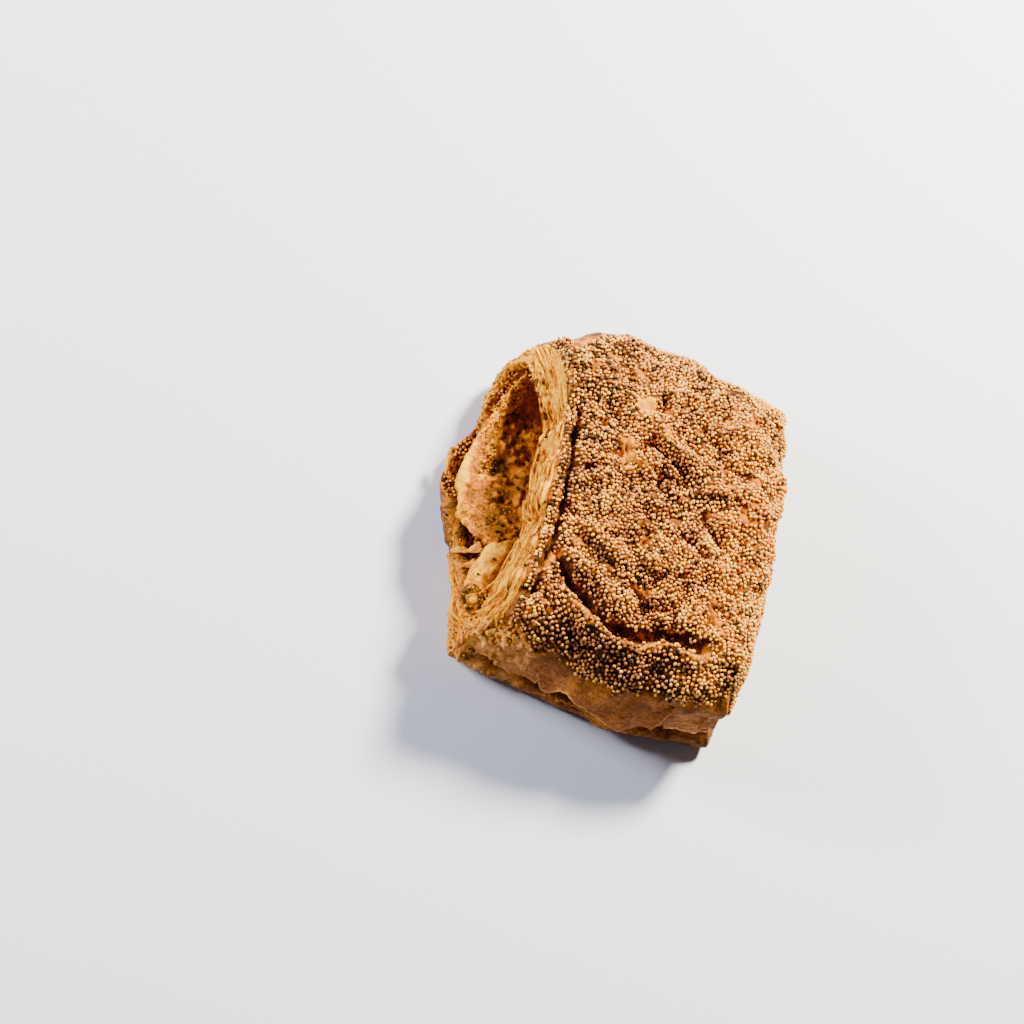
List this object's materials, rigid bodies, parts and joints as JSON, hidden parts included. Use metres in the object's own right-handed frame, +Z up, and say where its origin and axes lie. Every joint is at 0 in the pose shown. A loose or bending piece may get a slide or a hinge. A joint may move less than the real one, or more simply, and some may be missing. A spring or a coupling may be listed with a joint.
{
  "type": "wholegrain poppy seed roll",
  "caption": "Rectangular wholegrain roll of folded flaky dough with a poppy seed crust and an open cut end that shows the baked layers.",
  "frame": {"origin": "middle of the bounding box on the base, where the roll rests", "axes": "+Z up; -X out of the open cut end; -Y out of the front fold with its crease; +Y out of the round back fold"},
  "size_m": [0.0982, 0.1152, 0.038],
  "materials": {
    "crust": "dull baked crust"
  },
  "bodies": {
    "root": {"roll": "crust"}
  },
  "joints": []
}
